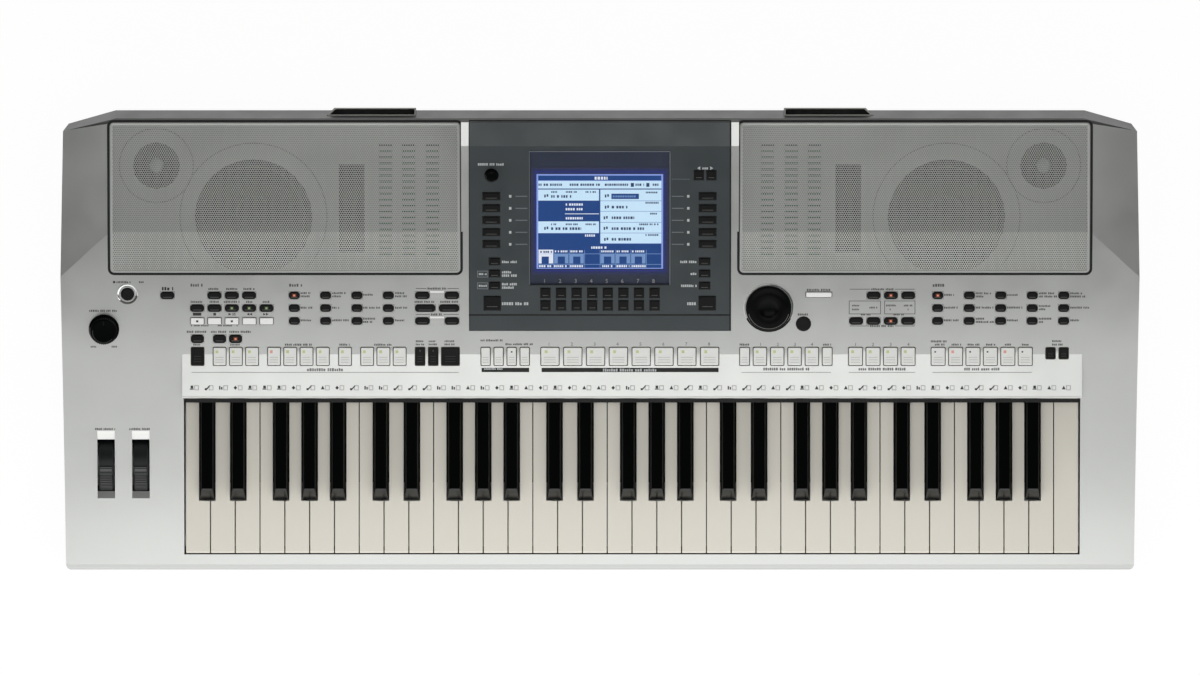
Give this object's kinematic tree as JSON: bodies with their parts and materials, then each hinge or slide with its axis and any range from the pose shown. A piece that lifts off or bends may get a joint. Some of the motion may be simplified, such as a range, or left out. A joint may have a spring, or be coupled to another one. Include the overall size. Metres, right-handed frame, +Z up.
{
  "type": "arranger keyboard",
  "caption": "Full-size electronic keyboard with sprung piano keys, silver sloping control panel, tilted display, button groups, two wheels, a data dial and grilled stereo speakers.",
  "frame": {"origin": "centre of the footprint, on the surface that the rubber feet stand on", "axes": "+X to the player's right along the keys, +Y away from the player to the rear, +Z up"},
  "size_m": [1.008, 0.432, 0.143],
  "materials": {
    "silver_case": "satin metallic paint",
    "black_case": "fine moulded grain",
    "dark_panel": "satin",
    "black_button": "satin",
    "white_button": "satin",
    "white_key": "semi-gloss",
    "black_key": "semi-gloss",
    "grille_mesh": "painted perforated sheet",
    "speaker": "black paper cone on a pressed basket",
    "keybed_metal": "bare sheet",
    "bracket_metal": "bare sheet",
    "circuit_board": "solder mask",
    "display": "lit liquid crystal",
    "display_window": "clear sheet",
    "foot_rubber": "matt"
  },
  "bodies": {
    "case": {"lower_case": "black_case", "upper_case": "silver_case", "center_panel": "dark_panel", "keybed_frame": "keybed_metal", "key_contact_board": "circuit_board", "main_board": "circuit_board", "left_speaker_grille": "grille_mesh", "right_speaker_grille": "grille_mesh", "left_woofer": "speaker", "right_woofer": "speaker", "left_tweeter": "speaker", "right_tweeter": "speaker", "lcd_module": "display", "lcd_window": "display_window", "wheel_bracket": "bracket_metal", "front_left_foot": "foot_rubber", "front_right_foot": "foot_rubber", "rear_left_foot": "foot_rubber", "rear_right_foot": "foot_rubber", "left_music_rest_socket": "black_case", "right_music_rest_socket": "black_case", "rear_jack_panel": "black_case", "phones_jack": "black_case"},
    "white_keys_outer_1_comb": {"white_keys_outer_1": "white_key"},
    "white_keys_inner_1_comb": {"white_keys_inner_1": "white_key"},
    "black_keys_1_comb": {"black_keys_1": "black_key"},
    "white_keys_outer_2_comb": {"white_keys_outer_2": "white_key"},
    "white_keys_inner_2_comb": {"white_keys_inner_2": "white_key"},
    "black_keys_2_comb": {"black_keys_2": "black_key"},
    "white_keys_outer_3_comb": {"white_keys_outer_3": "white_key"},
    "white_keys_inner_3_comb": {"white_keys_inner_3": "white_key"},
    "black_keys_3_comb": {"black_keys_3": "black_key"},
    "white_keys_outer_4_comb": {"white_keys_outer_4": "white_key"},
    "white_keys_inner_4_comb": {"white_keys_inner_4": "white_key"},
    "black_keys_4_comb": {"black_keys_4": "black_key"},
    "white_keys_outer_5_comb": {"white_keys_outer_5": "white_key"},
    "white_keys_inner_5_comb": {"white_keys_inner_5": "white_key"},
    "black_keys_5_comb": {"black_keys_5": "black_key"},
    "song_buttons_strip": {"song_buttons": "black_button"},
    "style_select_buttons_strip": {"style_select_buttons": "black_button"},
    "tempo_buttons_strip": {"tempo_buttons": "black_button"},
    "fade_and_fill_buttons_strip": {"fade_and_fill_buttons": "black_button"},
    "part_select_buttons_strip": {"part_select_buttons": "black_button"},
    "voice_buttons_strip": {"voice_buttons": "black_button"},
    "display_left_buttons_strip": {"display_left_buttons": "black_button"},
    "display_right_buttons_strip": {"display_right_buttons": "black_button"},
    "display_lower_buttons_strip": {"display_lower_buttons": "black_button"},
    "style_control_buttons_strip": {"style_control_buttons": "white_button"},
    "sync_start_buttons_strip": {"sync_start_buttons": "black_button"},
    "registration_buttons_strip": {"registration_buttons": "white_button"},
    "multi_pad_buttons_strip": {"multi_pad_buttons": "white_button"},
    "one_touch_buttons_strip": {"one_touch_buttons": "white_button"},
    "voice_control_buttons_strip": {"voice_control_buttons": "white_button"},
    "power_button_cap": {"power_button": "black_button"},
    "enter_button_cap": {"enter_button": "black_button"},
    "pitch_bend_wheel_rotor": {"pitch_bend_wheel": "black_button"},
    "modulation_wheel_rotor": {"modulation_wheel": "black_button"},
    "volume_knob_rotor": {"volume_knob": "black_button"},
    "contrast_knob_rotor": {"contrast_knob": "black_button"},
    "data_dial_rotor": {"data_dial": "black_button"}
  },
  "joints": [
    {"name": "pitch_bend_wheel_turn", "type": "hinge", "parent": "case", "child": "pitch_bend_wheel_rotor", "pos_m": [-0.4627, -0.1173, 0.05276], "axis": [1, 0, 0], "range_deg": [-35, 35], "stiffness_Nm_per_rad": 0.15},
    {"name": "modulation_wheel_turn", "type": "hinge", "parent": "case", "child": "modulation_wheel_rotor", "pos_m": [-0.4302, -0.1173, 0.05276], "axis": [1, 0, 0], "range_deg": [-35, 35]},
    {"name": "volume_knob_turn", "type": "hinge", "parent": "case", "child": "volume_knob_rotor", "pos_m": [-0.4638, 0.0094, 0.09956], "axis": [0, -0.2419, 0.9703], "range_deg": [-140, 140]},
    {"name": "contrast_knob_turn", "type": "hinge", "parent": "case", "child": "contrast_knob_rotor", "pos_m": [-0.1012, 0.1528, 0.13531], "axis": [0, -0.2419, 0.9703], "range_deg": [-140, 140]},
    {"name": "data_dial_turn", "type": "hinge", "parent": "case", "child": "data_dial_rotor", "pos_m": [0.1576, 0.0294, 0.10455], "axis": [0, -0.2419, 0.9703], "continuous": true},
    {"name": "song_buttons_press", "type": "slide", "parent": "case", "child": "song_buttons_strip", "axis": [0, 0.2419, -0.9703], "range_m": [0, 0.001], "stiffness_N_per_m": 800, "springref_m": -0.001},
    {"name": "style_select_buttons_press", "type": "slide", "parent": "case", "child": "style_select_buttons_strip", "axis": [0, 0.2419, -0.9703], "range_m": [0, 0.001], "stiffness_N_per_m": 800, "springref_m": -0.001},
    {"name": "tempo_buttons_press", "type": "slide", "parent": "case", "child": "tempo_buttons_strip", "axis": [0, 0.2419, -0.9703], "range_m": [0, 0.001], "stiffness_N_per_m": 800, "springref_m": -0.001},
    {"name": "fade_and_fill_buttons_press", "type": "slide", "parent": "case", "child": "fade_and_fill_buttons_strip", "axis": [0, 0.2419, -0.9703], "range_m": [0, 0.001], "stiffness_N_per_m": 800, "springref_m": -0.001},
    {"name": "part_select_buttons_press", "type": "slide", "parent": "case", "child": "part_select_buttons_strip", "axis": [0, 0.2419, -0.9703], "range_m": [0, 0.001], "stiffness_N_per_m": 800, "springref_m": -0.001},
    {"name": "voice_buttons_press", "type": "slide", "parent": "case", "child": "voice_buttons_strip", "axis": [0, 0.2419, -0.9703], "range_m": [0, 0.001], "stiffness_N_per_m": 800, "springref_m": -0.001},
    {"name": "display_left_buttons_press", "type": "slide", "parent": "case", "child": "display_left_buttons_strip", "axis": [0, 0.2419, -0.9703], "range_m": [0, 0.001], "stiffness_N_per_m": 800, "springref_m": -0.001},
    {"name": "display_right_buttons_press", "type": "slide", "parent": "case", "child": "display_right_buttons_strip", "axis": [0, 0.2419, -0.9703], "range_m": [0, 0.001], "stiffness_N_per_m": 800, "springref_m": -0.001},
    {"name": "display_lower_buttons_press", "type": "slide", "parent": "case", "child": "display_lower_buttons_strip", "axis": [0, 0.2419, -0.9703], "range_m": [0, 0.001], "stiffness_N_per_m": 800, "springref_m": -0.001},
    {"name": "style_control_buttons_press", "type": "slide", "parent": "case", "child": "style_control_buttons_strip", "axis": [0, 0, -1], "range_m": [0, 0.001], "stiffness_N_per_m": 800, "springref_m": -0.001},
    {"name": "sync_start_buttons_press", "type": "slide", "parent": "case", "child": "sync_start_buttons_strip", "axis": [0, 0, -1], "range_m": [0, 0.001], "stiffness_N_per_m": 800, "springref_m": -0.001},
    {"name": "registration_buttons_press", "type": "slide", "parent": "case", "child": "registration_buttons_strip", "axis": [0, 0, -1], "range_m": [0, 0.001], "stiffness_N_per_m": 800, "springref_m": -0.001},
    {"name": "multi_pad_buttons_press", "type": "slide", "parent": "case", "child": "multi_pad_buttons_strip", "axis": [0, 0, -1], "range_m": [0, 0.001], "stiffness_N_per_m": 800, "springref_m": -0.001},
    {"name": "one_touch_buttons_press", "type": "slide", "parent": "case", "child": "one_touch_buttons_strip", "axis": [0, 0, -1], "range_m": [0, 0.001], "stiffness_N_per_m": 800, "springref_m": -0.001},
    {"name": "voice_control_buttons_press", "type": "slide", "parent": "case", "child": "voice_control_buttons_strip", "axis": [0, 0, -1], "range_m": [0, 0.001], "stiffness_N_per_m": 800, "springref_m": -0.001},
    {"name": "power_button_press", "type": "slide", "parent": "case", "child": "power_button_cap", "axis": [0, 0.2419, -0.9703], "range_m": [0, 0.001], "stiffness_N_per_m": 400, "springref_m": -0.001},
    {"name": "enter_button_press", "type": "slide", "parent": "case", "child": "enter_button_cap", "axis": [0, 0.2419, -0.9703], "range_m": [0, 0.001], "stiffness_N_per_m": 400, "springref_m": -0.001},
    {"name": "white_keys_outer_1_press", "type": "hinge", "parent": "case", "child": "white_keys_outer_1_comb", "pos_m": [-0.307, -0.0081, 0.055], "axis": [1, 0, 0], "range_deg": [0, 3], "stiffness_Nm_per_rad": 4, "springref_deg": -6.88},
    {"name": "white_keys_inner_1_press", "type": "hinge", "parent": "case", "child": "white_keys_inner_1_comb", "pos_m": [-0.307, 0.0004, 0.055], "axis": [1, 0, 0], "range_deg": [0, 3], "stiffness_Nm_per_rad": 4, "springref_deg": -6.88},
    {"name": "black_keys_1_press", "type": "hinge", "parent": "case", "child": "black_keys_1_comb", "pos_m": [-0.307, 0.0089, 0.055], "axis": [1, 0, 0], "range_deg": [0, 3], "stiffness_Nm_per_rad": 4, "springref_deg": -6.88},
    {"name": "white_keys_outer_2_press", "type": "hinge", "parent": "case", "child": "white_keys_outer_2_comb", "pos_m": [-0.1443, -0.0081, 0.055], "axis": [1, 0, 0], "range_deg": [0, 3], "stiffness_Nm_per_rad": 4, "springref_deg": -6.88},
    {"name": "white_keys_inner_2_press", "type": "hinge", "parent": "case", "child": "white_keys_inner_2_comb", "pos_m": [-0.1443, 0.0004, 0.055], "axis": [1, 0, 0], "range_deg": [0, 3], "stiffness_Nm_per_rad": 4, "springref_deg": -6.88},
    {"name": "black_keys_2_press", "type": "hinge", "parent": "case", "child": "black_keys_2_comb", "pos_m": [-0.1443, 0.0089, 0.055], "axis": [1, 0, 0], "range_deg": [0, 3], "stiffness_Nm_per_rad": 4, "springref_deg": -6.88},
    {"name": "white_keys_outer_3_press", "type": "hinge", "parent": "case", "child": "white_keys_outer_3_comb", "pos_m": [0.0184, -0.0081, 0.055], "axis": [1, 0, 0], "range_deg": [0, 3], "stiffness_Nm_per_rad": 4, "springref_deg": -6.88},
    {"name": "white_keys_inner_3_press", "type": "hinge", "parent": "case", "child": "white_keys_inner_3_comb", "pos_m": [0.0184, 0.0004, 0.055], "axis": [1, 0, 0], "range_deg": [0, 3], "stiffness_Nm_per_rad": 4, "springref_deg": -6.88},
    {"name": "black_keys_3_press", "type": "hinge", "parent": "case", "child": "black_keys_3_comb", "pos_m": [0.0184, 0.0089, 0.055], "axis": [1, 0, 0], "range_deg": [0, 3], "stiffness_Nm_per_rad": 4, "springref_deg": -6.88},
    {"name": "white_keys_outer_4_press", "type": "hinge", "parent": "case", "child": "white_keys_outer_4_comb", "pos_m": [0.1811, -0.0081, 0.055], "axis": [1, 0, 0], "range_deg": [0, 3], "stiffness_Nm_per_rad": 4, "springref_deg": -6.88},
    {"name": "white_keys_inner_4_press", "type": "hinge", "parent": "case", "child": "white_keys_inner_4_comb", "pos_m": [0.1811, 0.0004, 0.055], "axis": [1, 0, 0], "range_deg": [0, 3], "stiffness_Nm_per_rad": 4, "springref_deg": -6.88},
    {"name": "black_keys_4_press", "type": "hinge", "parent": "case", "child": "black_keys_4_comb", "pos_m": [0.1811, 0.0089, 0.055], "axis": [1, 0, 0], "range_deg": [0, 3], "stiffness_Nm_per_rad": 4, "springref_deg": -6.88},
    {"name": "white_keys_outer_5_press", "type": "hinge", "parent": "case", "child": "white_keys_outer_5_comb", "pos_m": [0.3437, -0.0081, 0.055], "axis": [1, 0, 0], "range_deg": [0, 3], "stiffness_Nm_per_rad": 4, "springref_deg": -6.88},
    {"name": "white_keys_inner_5_press", "type": "hinge", "parent": "case", "child": "white_keys_inner_5_comb", "pos_m": [0.3437, 0.0004, 0.055], "axis": [1, 0, 0], "range_deg": [0, 3], "stiffness_Nm_per_rad": 4, "springref_deg": -6.88},
    {"name": "black_keys_5_press", "type": "hinge", "parent": "case", "child": "black_keys_5_comb", "pos_m": [0.3437, 0.0089, 0.055], "axis": [1, 0, 0], "range_deg": [0, 3], "stiffness_Nm_per_rad": 4, "springref_deg": -6.88}
  ]
}
